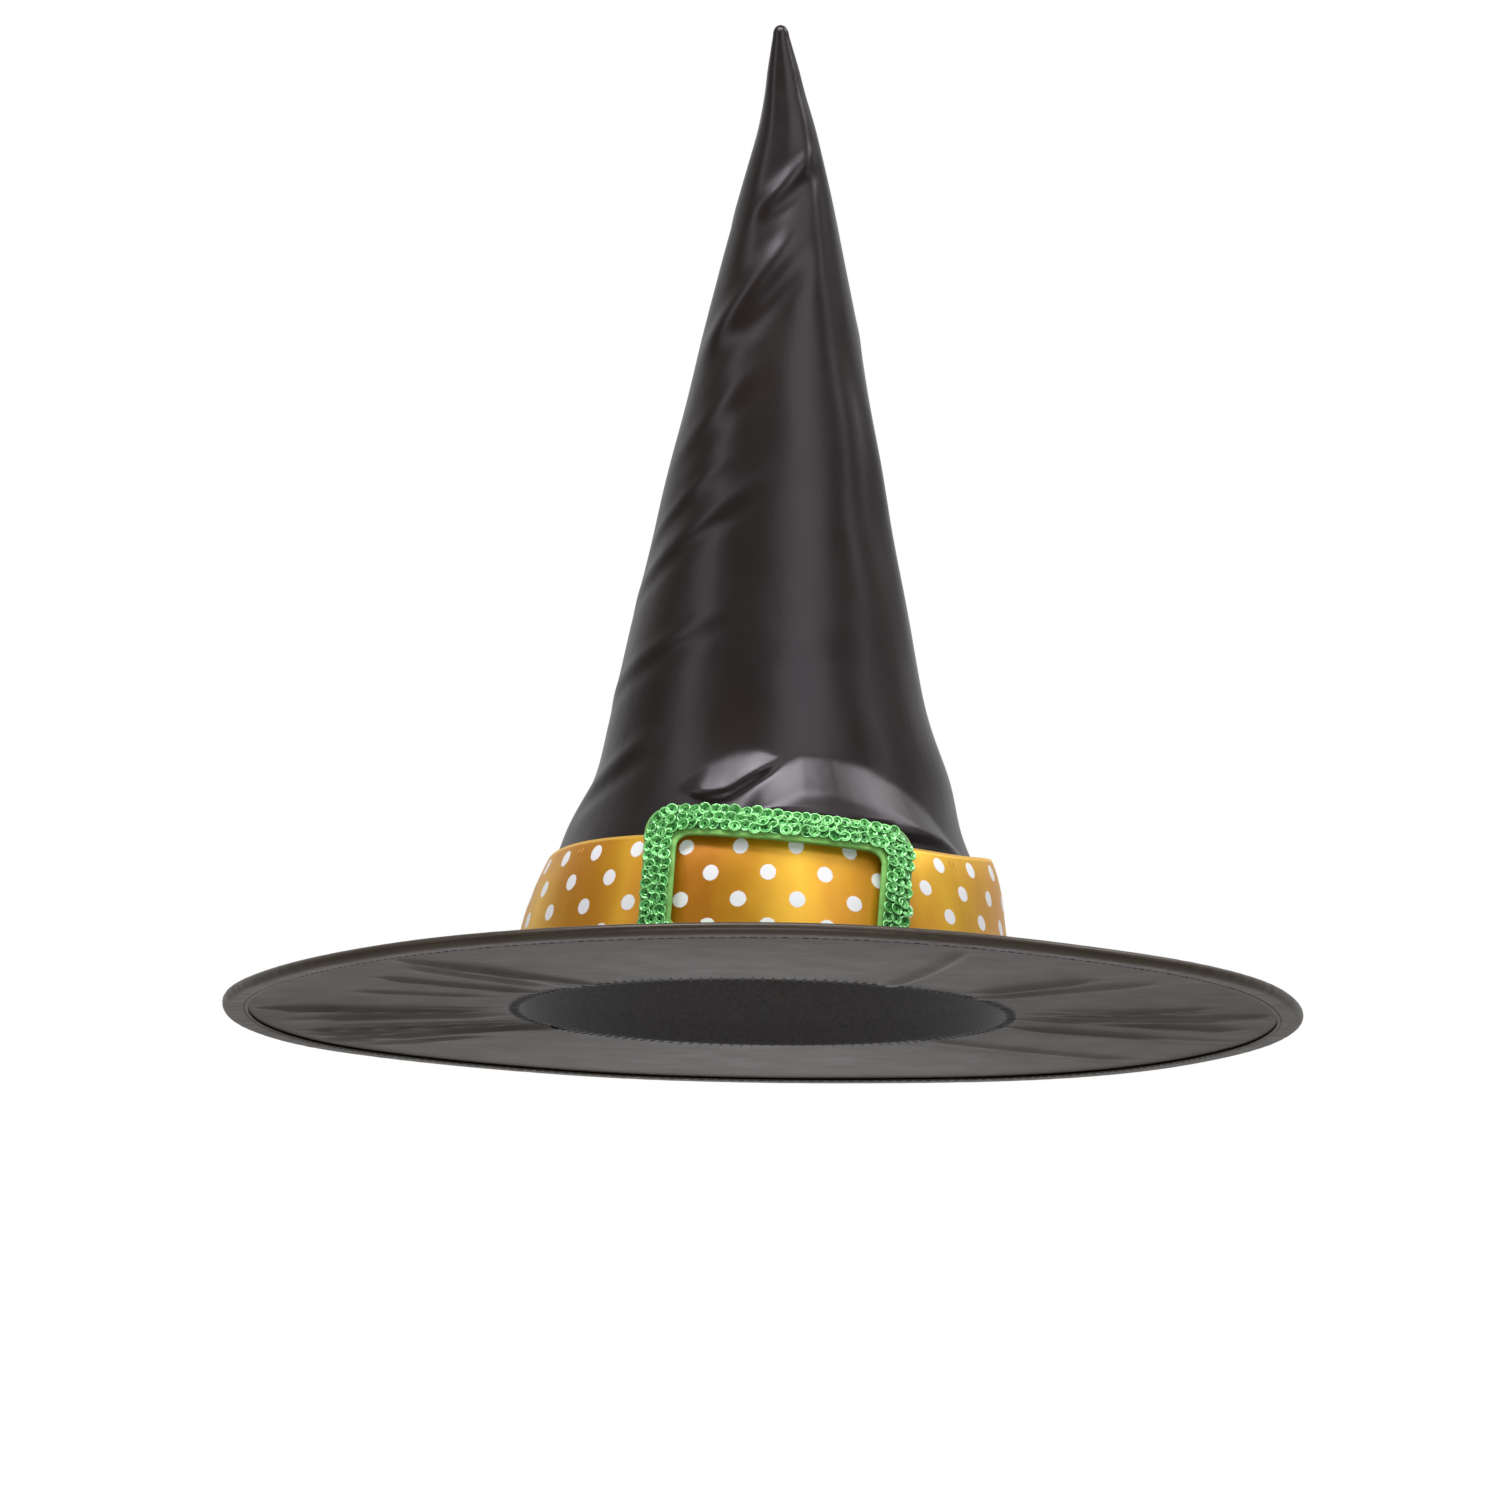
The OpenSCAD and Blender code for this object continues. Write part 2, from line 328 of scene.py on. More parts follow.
def thread_material(name, dark, light):
    n = Nodes(name)
    n.set(Sheen_Weight=0.2)
    twist = n.add("ShaderNodeTexWave", Scale=900, Distortion=1.0)
    n.link(n.coords.outputs["Object"], twist.inputs["Vector"])
    n.colour(n.ramp(twist.outputs["Fac"], [(0.2, dark), (0.8, light)]))
    n.roughness(n.noise(300), 0.5, 0.7)
    return n.normal(n.bump(twist.outputs["Fac"], 0.4, 0.1 * MM))


def plastic_material(name, dark, light, rough=(0.3, 0.45)):
    n = Nodes(name)
    n.colour(n.ramp(n.noise(80), [(0.3, dark), (0.7, light)]))
    n.roughness(n.noise(300), *rough)
    return n.normal(n.bump(n.noise(500), 0.1, 0.1 * MM))


def foam_material(name, dark, light):
    n = Nodes(name)
    n.set(Subsurface_Weight=0.15, Subsurface_Scale=1.5 * MM)
    n.colour(n.ramp(n.noise(350, 4), [(0.25, dark), (0.75, light)]))
    n.roughness(n.noise(500), 0.6, 0.8)
    cells = n.add("ShaderNodeTexVoronoi", Scale=2200)
    n.link(n.coords.outputs["Object"], cells.inputs["Vector"])
    return n.normal(n.bump(cells.outputs["Distance"], 0.35, 0.12 * MM))


def sequin_material(name):
    n = Nodes(name)
    n.set(Metallic=0.35, Coat_Weight=0.4, Coat_Roughness=0.12)
    face = n.ramp(n.noise(420, 2), [(0.3, (0.03, 0.24, 0.035)), (0.7, (0.085, 0.44, 0.08))])
    # painted highlight: the rolled edge of each sequin is painted a paler green for the light it catches; its weight
    # by ring is kept on the mesh
    painted_rim_highlight = n.add("ShaderNodeAttribute", attribute_name="painted_rim_highlight")
    mix = n.add("ShaderNodeMix", data_type="RGBA")
    n.link(painted_rim_highlight.outputs["Fac"], mix.inputs["Factor"])
    n.link(face, colour_in(mix, "A"))
    colour_in(mix, "B").default_value = (0.27, 0.74, 0.25, 1)
    n.colour(colour_out(mix))
    n.roughness(n.noise(600), 0.16, 0.3)
    return n.normal(n.bump(n.noise(900, 2), 0.15, 0.1 * MM))


SPOT_R = 2.85 * MM
SPOT_PITCH = 20.6 * MM
SPOT_ROW = 9.7 * MM
SPOT_PHASE = 9.2 * MM


def ribbon_material(name, width):
    """Orange satin with printed white spots in a staggered lattice, and a paler selvedge on each edge.
    The UV map holds the distance along and across the ribbon in metres."""
    n = Nodes(name)
    n.set(Anisotropic=0.4, Specular_IOR_Level=0.7)
    uv = n.add("ShaderNodeUVMap", uv_map="Cloth")
    split = n.add("ShaderNodeSeparateXYZ")
    n.link(uv.outputs["UV"], split.inputs["Vector"])
    along, across = split.outputs["X"], split.outputs["Y"]
    # rows are counted down from the top edge, and every second row is offset by half a pitch
    down = n.math("DIVIDE", n.math("SUBTRACT", width - 5.3 * MM, across), SPOT_ROW)
    row = n.math("ROUND", down)
    off_row = n.math("MULTIPLY", n.math("SUBTRACT", down, row), SPOT_ROW)
    odd = n.math("MULTIPLY", n.math("MODULO", n.math("ADD", row, 20), 2), 0.5)
    step = n.math("ADD", n.math("DIVIDE", n.math("ADD", along, SPOT_PHASE), SPOT_PITCH), odd)
    off_step = n.math(
        "MULTIPLY", n.math("SUBTRACT", step, n.math("ROUND", step)), SPOT_PITCH
    )
    far = n.math(
        "SQRT",
        n.math("ADD", n.math("MULTIPLY", off_row, off_row), n.math("MULTIPLY", off_step, off_step)),
    )
    rough_edge = n.math("MULTIPLY", n.math("SUBTRACT", n.noise(1600, 2), 0.5), 0.5 * MM)
    spot = n.add("ShaderNodeMapRange", interpolation_type="SMOOTHSTEP")
    spot.inputs["From Min"].default_value = SPOT_R + 0.18 * MM
    spot.inputs["From Max"].default_value = SPOT_R - 0.18 * MM
    n.link(n.math("ADD", far, rough_edge), spot.inputs["Value"])
    # the selvedge
    from_edge = n.math("MINIMUM", across, n.math("SUBTRACT", width, across))
    selvedge = n.math("LESS_THAN", from_edge, 0.9 * MM)
    # the ground: tone varying at random in upright streaks, with painted sheen, the pale yellow end of the ramp
    # standing in for the satin's highlights
    base = n.ramp(
        n.noise(24, 3, stretch=(1.0, 1.0, 0.3)),
        [(0.36, (0.56, 0.20, 0.004)), (0.5, (0.68, 0.31, 0.008)), (0.66, (0.86, 0.49, 0.028))],
    )
    edged = n.add("ShaderNodeMix", data_type="RGBA")
    n.link(selvedge, edged.inputs["Factor"])
    n.link(base, colour_in(edged, "A"))
    colour_in(edged, "B").default_value = (0.80, 0.46, 0.06, 1)
    mixed = n.add("ShaderNodeMix", data_type="RGBA")
    n.link(spot.outputs["Result"], mixed.inputs["Factor"])
    n.link(colour_out(edged), colour_in(mixed, "A"))
    colour_in(mixed, "B").default_value = (0.90, 0.90, 0.93, 1)
    n.colour(colour_out(mixed))
    # the yarn's own lustre, dulled where the white ink lies on it
    n.link(n.math("MULTIPLY_ADD", spot.outputs["Result"], -0.45, 0.5), n.shader.inputs["Metallic"])
    n.roughness(n.noise(90, 3), 0.3, 0.42)
    ribs = n.math("SINE", n.math("MULTIPLY", along, TAU / (0.45 * MM)))
    weave = n.math("MULTIPLY", n.math("SINE", n.math("MULTIPLY", across, TAU / (0.5 * MM))), ribs)
    fine = n.bump(weave, 0.08, 0.05 * MM, n.bump(n.noise(70, 2), 0.15, 1.0 * MM))
    raised = n.bump(spot.outputs["Result"], 0.5, 0.04 * MM, fine)
    return n.normal(raised)


def colour_in(node, name):
    """A mix node repeats its A and B sockets for each data type: this is the colour one."""
    return next(s for s in node.inputs if s.name == name and s.type == "RGBA")


def colour_out(node):
    return next(s for s in node.outputs if s.type == "RGBA")


SATIN_BLACK = satin_material("crown_satin", (0.0085, 0.006, 0.005), (0.014, 0.010, 0.008), (0.95, 0.88, 1.0))
BRIM_SATIN = satin_material(
    "brim_satin", (0.010, 0.0068, 0.004), (0.018, 0.0125, 0.008), (1.0, 0.87, 0.76), (0.34, 0.46)
)
# painted light: the binding is the same black satin as the brim, given a base two to three times lighter so its rolled
# front edge does not read dark
BINDING_SATIN_PAINTED_LIGHT = satin_material(
    "binding_satin_painted_light", (0.028, 0.021, 0.015), (0.042, 0.032, 0.024), (1.0, 0.88, 0.78), (0.32, 0.44)
)
FELT_BLACK = felt_material("black_felt", (0.012, 0.012, 0.014), (0.035, 0.035, 0.04))
THREAD_BLACK = thread_material("black_thread", (0.008, 0.007, 0.010), (0.03, 0.027, 0.035))
THREAD_ORANGE = thread_material("orange_thread", (0.5, 0.2, 0.01), (0.72, 0.36, 0.04))
SWEAT_CLOTH = felt_material("sweatband_tape", (0.016, 0.014, 0.013), (0.034, 0.030, 0.028))
BONING = plastic_material("boning", (0.62, 0.6, 0.55), (0.78, 0.76, 0.7))
GLUE = plastic_material("glue", (0.62, 0.58, 0.45), (0.8, 0.77, 0.66), (0.2, 0.3))
FOAM_GREEN = foam_material("green_foam", (0.15, 0.42, 0.08), (0.27, 0.58, 0.14))
CLOTH_GREEN = felt_material("green_backing", (0.008, 0.09, 0.015), (0.02, 0.19, 0.035))
SEQUIN_GREEN = sequin_material("green_sequin")

# ---------------------------------------------------------------- crown

# soft folds in the satin: azimuth and height of each end, width and depth, in degrees and mm
FOLDS = [
    (-30, 283, 36, 303, 3.2, 1.15),
    (-60, 236, 10, 274, 4.8, 1.6),
    (-84, 148, -12, 182, 3.4, 0.6),
    (-78, 166, -30, 190, 2.8, 0.4),
    (-66, 196, -14, 226, 4.0, 0.45),
    (-88, 112, -26, 134, 3.6, 0.6),
    (-84, 74, -46, 92, 4.2, 0.9),
    (2, 124, 34, 133, 6.5, 0.3),
    (100, 120, 150, 150, 6.0, 1.0),
    (130, 190, 165, 222, 5.0, 0.8),
    (-160, 100, -110, 128, 6.0, 1.1),
    (-150, 180, -118, 212, 5.0, 0.8),
    (95, 240, 140, 268, 4.0, 0.7),
    (-140, 260, -100, 285, 3.6, 0.6),
]

# how far the crown's axis leans to its right on the way up: height and shift in mm
LEAN = [(4, 0.0), (60, 0.0), (88, 1.2), (110, 0.3), (180, 1.0), (250, 2.6), (314, 3.4), (342, 0.9), (350, 0.2)]


# where the slumped cloth turns back up into the cone: azimuth in degrees and height in mm
SHELF = [(-12, 64), (-4, 72), (3, 79), (10, 83.5), (20, 84), (31, 81), (45, 75.5), (56, 68), (64, 59), (72, 50)]
LENS_LOW = [(-28, 72), (-18, 69.5), (-12, 70.5), (-5, 76), (3, 82)]
LENS_HIGH = [(-28, 73), (-20, 80), (-10, 85), (-3, 85.5), (3, 83)]


def soft_ramp(t):
    """Nought below nought, then straight up to one, with eased corners."""
    t = np.clip(t, -0.15, 1.15)
    low = np.where(t < 0.15, (t + 0.15) ** 2 / 0.6, t)
    return np.where(t > 0.85, 1 - (1.15 - t) ** 2 / 0.6, low)


def lean_of(z):
    heights, shifts = np.array(LEAN).T * MM
    raw = np.interp(np.arange(0, 0.36, 0.001), heights, shifts)
    kernel = bell(np.arange(-12, 13), 0, 6.0)
    padded_raw = np.pad(raw, 12, mode="edge")
    smooth = np.convolve(padded_raw, kernel / kernel.sum(), mode="valid")
    return np.interp(z, np.arange(0, 0.36, 0.001), smooth)


def fold(azimuth, z, r, a0, z0, a1, z1, width, depth):
    """A crest with a hollow below it, along a line between two places on the cone."""
    mid = math.radians((a0 + a1) / 2)
    mean_r = crown_r(np.array((z0 + z1) / 2 * MM))
    s = turn_between(azimuth, mid) * mean_r
    half = math.radians(a1 - a0) / 2 * mean_r
    start, end = np.array([-half, z0 * MM]), np.array([half, z1 * MM])
    line = end - start
    length = np.hypot(*line)
    unit = line / length
    along = ((s - start[0]) * unit[0] + (z - start[1]) * unit[1]) / length
    off = -(s - start[0]) * unit[1] + (z - start[1]) * unit[0]
    w = width * MM
    window = smooth_step(along, -0.25, 0.3) * (1 - smooth_step(along, 0.7, 1.25))
    near = 1 - smooth_step(np.abs(turn_between(azimuth, mid)), 1.2, 1.7)
    crest = bell(off, 0, w) - 0.55 * bell(off, -1.7 * w, w)
    return depth * MM * crest * window * near


def crown_points(azimuth, z):
    """Where the satin is at an azimuth and height: the CAD cone with its folds, creases and slump."""
    r = crown_r(z)
    deg = np.degrees(turn_between(azimuth, 0))
    out = np.zeros_like(r)
    for f in FOLDS:
        out = out + fold(azimuth, z, r, *f)
    # a long crease down the right of the front, with a hollow beside it
    long_crease = smooth_step(z, 0.075, 0.12) * (1 - smooth_step(z, 0.262, 0.312))
    wander = 5 * np.sin(z * 42) + 3 * np.sin(z * 91 + 1)
    uneven = 0.75 + 0.25 * np.sin(z * 63 + 2)
    out = out + 0.5 * MM * bell(deg, 34 + wander, 12) * long_crease * uneven
    out = out - 0.55 * MM * bell(deg, 54 + wander, 9) * long_crease * uneven
    out = out + 1.0 * MM * bell(deg, 74, 9) * long_crease * bell(z, 0.165, 0.06)
    out = out - 0.7 * MM * bell(deg, -8, 16) * long_crease * smooth_step(z, 0.12, 0.2)
    # the cloth slumps on to the ribbon: a shelf that falls away to the right, and a lens on its left
    shelf_top = np.interp(deg, *zip(*SHELF)) * MM
    shelf = 4.9 * MM * soft_ramp((shelf_top - z) / (15 * MM)) * smooth_step(deg, -10, -1)
    lens_low, lens_high = [np.interp(deg, *zip(*edge)) * MM for edge in (LENS_LOW, LENS_HIGH)]
    climb = soft_ramp((lens_high - z) / np.maximum(lens_high - lens_low, 1 * MM))
    lens = 2.2 * MM * climb * smooth_step(z, lens_low - 4.5 * MM, lens_low + 0.5 * MM)
    out = out + np.maximum(shelf, lens * smooth_step(deg, -30, -20) * (1 - smooth_step(deg, -3, 5)))
    # it hangs out over the ribbon on the right
    out = out + 2.6 * MM * bell(deg, 92, 24) * bell(z, 0.080, 0.016)
    # a fuller turn below the point
    out = out + 0.9 * MM * bell(z, 0.265, 0.035) + 0.7 * MM * bell(z, 0.205, 0.04)
    out = out + 2.3 * MM * bell(deg, -90, 20) * bell(z, 0.067, 0.010)
    left = bell(z, 0.076 + 0.006 * np.sin(3 * azimuth), 0.008) * smooth_step(np.abs(deg), 88, 120)
    out = out + 1.8 * MM * left
    # slow unevenness all over
    out = out + 0.55 * MM * wobble(azimuth, z, 3) * smooth_step(z, 0.05, 0.09)
    out = out + 0.25 * MM * wobble(azimuth * 2, z, 5, scale=2.2) * smooth_step(z, 0.05, 0.09)
    # the back seam draws in along its line
    seam = turn_between(azimuth, math.pi) * r
    out = out - 0.35 * MM * bell(seam, 0, 1.1 * MM) + 0.3 * MM * bell(np.abs(seam), 3 * MM, 1.4 * MM)
    # nothing pushes into the ribbon or past a fine point
    room = 0.15 * MM + 1.4 * MM * smooth_step(z, BAND_TOP - 0.012, BAND_TOP)
    room = room + 2.0 * MM * smooth_step(z, BAND_TOP, BAND_TOP + 0.006) + np.maximum(z - BAND_TOP, 0) * 0.2
    # and it stays behind the buckle's back as far up as the buckle's top bar
    across = np.radians(deg) - BUCKLE_TURN
    over_bar = z - (BUCKLE_Z + BUCKLE_H / 2 - BUCKLE_TILT * r * across)
    clear = 5 * MM * (smooth_step(over_bar, -1 * MM, 5 * MM) + smooth_step(np.abs(across), 0.57, 0.68))
    out = np.minimum(out, np.minimum(room, buckle_back(z) - r - 0.45 * MM + clear))
    out = out * smooth_step(HAT_TOP - z, 0.004, 0.03)
    # the point is pulled up a little when the hat is put on
    return at(azimuth, r + out, z + 3 * MM * smooth_step(z, 0.22, 0.35), lean_of(z))


def make_crown():
    cols, rows = 288, 300
    azimuth = np.arange(cols) * TAU / cols + math.pi
    z = np.linspace(CROWN_FOOT, HAT_TOP - 4 * MM, rows - 8)
    z = np.append(z, HAT_TOP - 4 * MM * (1 - np.sin(np.linspace(0, 1, 9)[1:] * 1.45)))
    a, h = np.meshgrid(azimuth, z)
    points = crown_points(a, h)
    crown = sheet_object("crown_satin", points)
    cap = bmesh.new()
    cap.from_mesh(crown.data)
    top = cap.verts.new((float(lean_of(HAT_TOP)), 0, HAT_TOP + 3 * MM))
    cap.verts.ensure_lookup_table()
    ring = [cap.verts[(rows - 1) * cols + j] for j in range(cols)]
    for j in range(cols):
        cap.faces.new((ring[j], ring[(j + 1) % cols], top)).smooth = True
    cap.to_mesh(crown.data)
    cap.free()
    finish_piece(
        crown, SATIN_BLACK,
        ("crown_satin_lower", "crown_satin_bend", "crown_satin_tip"), body=None,
    )
    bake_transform(crown)
    # the real crown is cut from a quarter circle and sewn up the back; here it is one closed sheet whose columns meet
    # at the back
    return crown


def make_interlining():
    cols, rows = 144, 120
    azimuth = np.arange(cols) * TAU / cols
    z = np.linspace(CROWN_FOOT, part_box("crown_interlining_tip")[1].z - 6 * MM, rows)
    a, h = np.meshgrid(azimuth, z)
    points = crown_points(a, h)
    centre = np.stack([lean_of(h), np.zeros_like(h), points[..., 2]], -1)
    inwards = points - centre
    size = np.linalg.norm(inwards, axis=-1, keepdims=True)
    points = centre + inwards * np.maximum(size - SATIN - GAP, 1.3 * MM) / size
    felt = sheet_object("crown_interlining", points)
    thicken(felt, FELT, -1)
    finish_piece(
        felt, FELT_BLACK,
        ("crown_interlining_lower", "crown_interlining_bend", "crown_interlining_tip"), body=None,
    )
    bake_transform(felt)
    return felt


# ---------------------------------------------------------------- stitches


def capsules(name, places, material, nodes=(), body="hat"):
    """Many short threads in one mesh: each place is (centre, direction, length, thickness)."""
    sides, verts, faces = 8, [], []
    stops = [(-0.5, 0.35), (-0.42, 0.8), (-0.2, 1.0), (0.2, 1.0), (0.42, 0.8), (0.5, 0.35)]
    for centre, direction, length, thick in places:
        frame_of = Vector(direction).to_track_quat("Z", "Y").to_matrix()
        base = len(verts)
        for t, width in stops:
            for k in range(sides):
                a = TAU * k / sides
                local = Vector((math.cos(a) * width * thick / 2, math.sin(a) * width * thick / 2, t * length))
                verts.append(Vector(centre) + frame_of @ local)
        for s in range(len(stops) - 1):
            for k in range(sides):
                a, b = base + s * sides + k, base + s * sides + (k + 1) % sides
                faces.append((a, b, b + sides, a + sides))
        faces.append(tuple(base + k for k in reversed(range(sides))))
        faces.append(tuple(base + (len(stops) - 1) * sides + k for k in range(sides)))
    obj = mesh_object(name, verts, faces)
    return finish_piece(obj, material, nodes, body)


def make_seam():
    places = []
    for z in np.arange(BAND_TOP + 6 * MM, HAT_TOP - 22 * MM, 3.4 * MM):
        here, above = [
            crown_points(np.array([math.pi]), np.array([h]))[0] for h in (z, z + 1 * MM)
        ]
        here[1] += 0.22 * MM
        places.append((here, above - here + [0, 0.22 * MM, 0], 2.5 * MM, THREAD))
    seam = capsules(
        "crown_seam_stitches", places, THREAD_BLACK,
        ("crown_seam_stitching", "tip_seam_stitching"), body=None,
    )
    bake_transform(seam)


# ---------------------------------------------------------------- brim


def brim_wave(azimuth, r):
    """Slow rise and fall of the whole brim, growing towards its edge."""
    share = np.clip((r - HOLE_R) / (BRIM_R - HOLE_R), 0, 1) ** 1.5
    edge = 2.0 * np.sin(azimuth) - 3.6 * np.sin(azimuth) * np.cos(azimuth) ** 2
    edge = edge + 3.2 * bell(turn_between(azimuth, -0.05), 0, 0.6)
    wave = 0.9 * np.sin(2 * azimuth + 0.9) + 0.7 * np.sin(3 * azimuth - 0.6) + 0.25 * np.sin(7 * azimuth)
    return share * (wave + share * edge) * MM * 0.8


def pleat_list(seed, count):
    """Radial pleats: azimuth, slant, inner and outer radius, width in mm and depth in mm."""
    g = np.random.default_rng(seed)
    out = []
    for _ in range(count):
        side = g.choice([math.pi / 2, -math.pi / 2])
        azimuth = side + np.clip(g.normal() * 0.5, -1.1, 1.1)
        out.append(
            (azimuth, g.normal() * 0.05, g.uniform(0.086, 0.105), g.uniform(0.15, 0.184),
             g.uniform(1.8, 4.6), g.uniform(0.5, 1.5))
        )
    return out


def pleats(azimuth, r, seed, count):
    out = np.zeros_like(r)
    for a0, slant, r0, r1, width, depth in pleat_list(seed, count):
        off = turn_between(azimuth, a0 + slant * (r - 0.13) / 0.05) * r
        window = smooth_step(r, r0 - 0.012, r0 + 0.01) * (1 - smooth_step(r, r1 - 0.014, r1 + 0.004))
        out = out + depth * MM * window * (bell(off, 0, width * MM) - 0.4 * bell(off, width * 1.7 * MM, width * MM))
    return out


def brim_sheet(name, z, direction, seed, count, outer):
    cols, rows = 512, 90
    azimuth = np.arange(cols) * TAU / cols
    r = np.linspace(HOLE_R, outer, rows)
    a, h = np.meshgrid(azimuth, r)
    drop = np.clip(pleats(a, h, seed, count), -0.1 * MM, 1.5 * MM)
    near_seam = smooth_step(h, outer - 9 * MM, outer - 7 * MM)
    pucker = 0.10 * MM * np.sin(150 * a) * bell(h, BRIM_R - BINDING_W - 1.5 * MM, 2.5 * MM)
    lift = direction * (drop * (1 - near_seam) + np.abs(pucker))
    points = at(a, h, z + lift + brim_wave(a, h))
    if direction < 0:
        points = points[:, ::-1]
    return sheet_object(name, points)


def make_brim():
    hoop_r = BRIM_R - EDGE_Z / 2
    cloth_r = hoop_r - 1.7 * MM
    under = brim_sheet("brim_underside_cloth", UNDER_Z + SATIN / 2, -1, 21, 30, cloth_r)
    finish_piece(under, BRIM_SATIN, ("brim_underside_satin",))
    top = brim_sheet("brim_top_cloth", TOP_Z - SATIN / 2, 1, 34, 26, cloth_r)
    finish_piece(top, BRIM_SATIN, ("brim_top_satin",))
    return hoop_r, cloth_r


def make_board(hoop_r, cloth_r):
    """The felt board between the two cloths, and the boning in the edge with its joiner."""
    cols, rows = 256, 30
    azimuth = np.arange(cols) * TAU / cols
    a, h = np.meshgrid(azimuth, np.linspace(HOLE_R, cloth_r, rows))
    mid = sum(BOARD_Z) / 2
    board = sheet_object("brim_board", at(a, h, mid + brim_wave(a, h)))
    thicken(board, BOARD_Z[1] - BOARD_Z[0], 0)
    finish_piece(board, FELT_BLACK, ("brim_stiffener",))

    def ring_tube(name, start, end, radius, cols):
        a = np.linspace(start, end, cols)
        around = np.arange(16) * TAU / 16
        aa, tt = np.meshgrid(a, around)
        r = hoop_r + radius * np.cos(tt)
        z = EDGE_Z / 2 + radius * np.sin(tt) + brim_wave(aa, np.full_like(aa, hoop_r))
        points = at(aa, r, z)
        closed = np.concatenate([points, points[:1]], 0)
        tube = sheet_object(name, closed, closed=False)
        weld(tube)
        return tube

    end_gap = math.radians(0.6)
    hoop = ring_tube("edge_hoop", -math.pi + end_gap, math.pi - end_gap, 0.9 * MM, 400)
    finish_piece(hoop, BONING, ("brim_hoop",))
    half = 12 * MM / hoop_r
    joiner = ring_tube("hoop_joiner", math.pi - half, math.pi + half, 1.35 * MM, 24)
    thicken(joiner, 0.35 * MM, -1)
    finish_piece(joiner, BONING, ("brim_hoop_sleeve",))


def weld(obj):
    mesh = bmesh.new()
    mesh.from_mesh(obj.data)
    bmesh.ops.remove_doubles(mesh, verts=mesh.verts, dist=1e-6)
    bmesh.ops.recalc_face_normals(mesh, faces=mesh.faces)
    mesh.to_mesh(obj.data)
    mesh.free()


def edge_pucker(azimuth):
    """Small gathers of the binding round the curve, uneven from place to place."""
    g = np.random.default_rng(12)
    out = 0
    for k in (61, 83, 97, 118, 141, 173):
        out = out + g.uniform(0.5, 1) * np.sin(k * azimuth + g.uniform(0, TAU))
    return out * 0.35 * (0.6 + 0.4 * np.sin(3 * azimuth + 1) * np.sin(5 * azimuth))


def make_binding():
    cols = 900
    azimuth = np.arange(cols) * TAU / cols
    half = EDGE_Z / 2
    flange = BINDING_W - half
    section = [(-BINDING_W + d * MM, 0.0) for d in (0, 0.6, 1.3, 2.2, 3.4, 4.6, 5.8)]
    section += [(-half + half * math.sin(t), half - half * math.cos(t)) for t in np.linspace(0.08, math.pi - 0.08, 15)]
    section += [(r, EDGE_Z) for r, _ in reversed(section[:7])]
    points = []
    for r_off, z in section:
        r = np.full(cols, BRIM_R + r_off)
        share = smooth_step(r_off, -flange, 0.0)
        gather = edge_pucker(azimuth)
        side = -1 if z < half else 1
        # the stitch line bites in, and the cloth swells between the line and the rolled edge
        bite = 0.22 * MM * bell(r_off, -BINDING_W + 1.3 * MM, 0.7 * MM)
        swell = 0.16 * MM * gather * bell(r_off, -0.6 * BINDING_W, 2.6 * MM)
        zz = z - side * bite + side * swell + brim_wave(azimuth, r)
        rr = r + 0.14 * MM * gather * share + 0.10 * MM * np.sin(17 * azimuth)
        points.append(at(azimuth, rr, zz))
    binding = sheet_object("edge_binding", np.array(points))
    thicken(binding, 0.45 * MM, -1)
    # the binding wears the lighter-painted copy of the black satin, painted light against its dark edge
    finish_piece(binding, BINDING_SATIN_PAINTED_LIGHT, ("brim_edge_binding",))
    places = []
    r = BRIM_R - BINDING_W + 1.3 * MM
    count = 320
    for i in range(count):
        a = np.array([TAU * i / count])
        for side, z in ((-1, 0.12 * MM), (1, EDGE_Z - 0.12 * MM)):
            rr = np.array([r])
            point = at(a, rr, z + brim_wave(a, rr))[0]
            tangent = Vector((math.cos(a[0]), math.sin(a[0]), 0))
            slant = Vector((math.sin(a[0]), -math.cos(a[0]), 0)) * 0.12
            places.append((point, tangent + slant, 2.5 * MM, THREAD))
    capsules("edge_stitches", places, THREAD_BLACK, ("brim_stitching",))


# ---------------------------------------------------------------- sweatband


def make_sweatband():
    cols, thick = 240, 0.8 * MM
    azimuth = np.arange(cols) * TAU / cols
    z = np.concatenate([np.linspace(SWEAT_LOW, SWEAT_LOW + 8 * MM, 9), np.linspace(SWEAT_LOW + 9 * MM, SWEAT_TOP, 22)])
    a, h = np.meshgrid(azimuth, z)
    wall = crown_r(h) - SATIN - FELT - 2 * GAP - 0.1 * MM
    r = np.minimum(HEAD_R + thick, wall)
    loose = smooth_step(h, SWEAT_TOP - 12 * MM, SWEAT_TOP)
    r = r - loose * (0.5 + 0.5 * np.abs(wobble(a, h, 9))) * MM
    band = sheet_object("sweatband_tape", at(a, r, h))
    thicken(band, thick, 1)
    finish_piece(band, SWEAT_CLOTH, ("sweatband",))
    count = 150
    places = []
    for i in range(count):
        a = TAU * i / count
        out = Vector((math.sin(a), -math.cos(a), 0))
        start = out * (HEAD_R + 0.5 * MM) + Vector((0, 0, SWEAT_LOW - 0.15 * MM))
        end = out * (HOLE_R + 3.0 * MM) + Vector((0, 0, UNDER_Z - 0.15 * MM))
        lean = Vector((math.cos(a), math.sin(a), 0)) * 0.5 * MM
        places.append(((start + end) / 2, end - start + lean, (end - start).length, THREAD))
    capsules("sweatband_stitches", places, THREAD_BLACK, ("sweatband_stitching",))


# ---------------------------------------------------------------- ribbon

RIBBON_WIDTH = 50 * MM


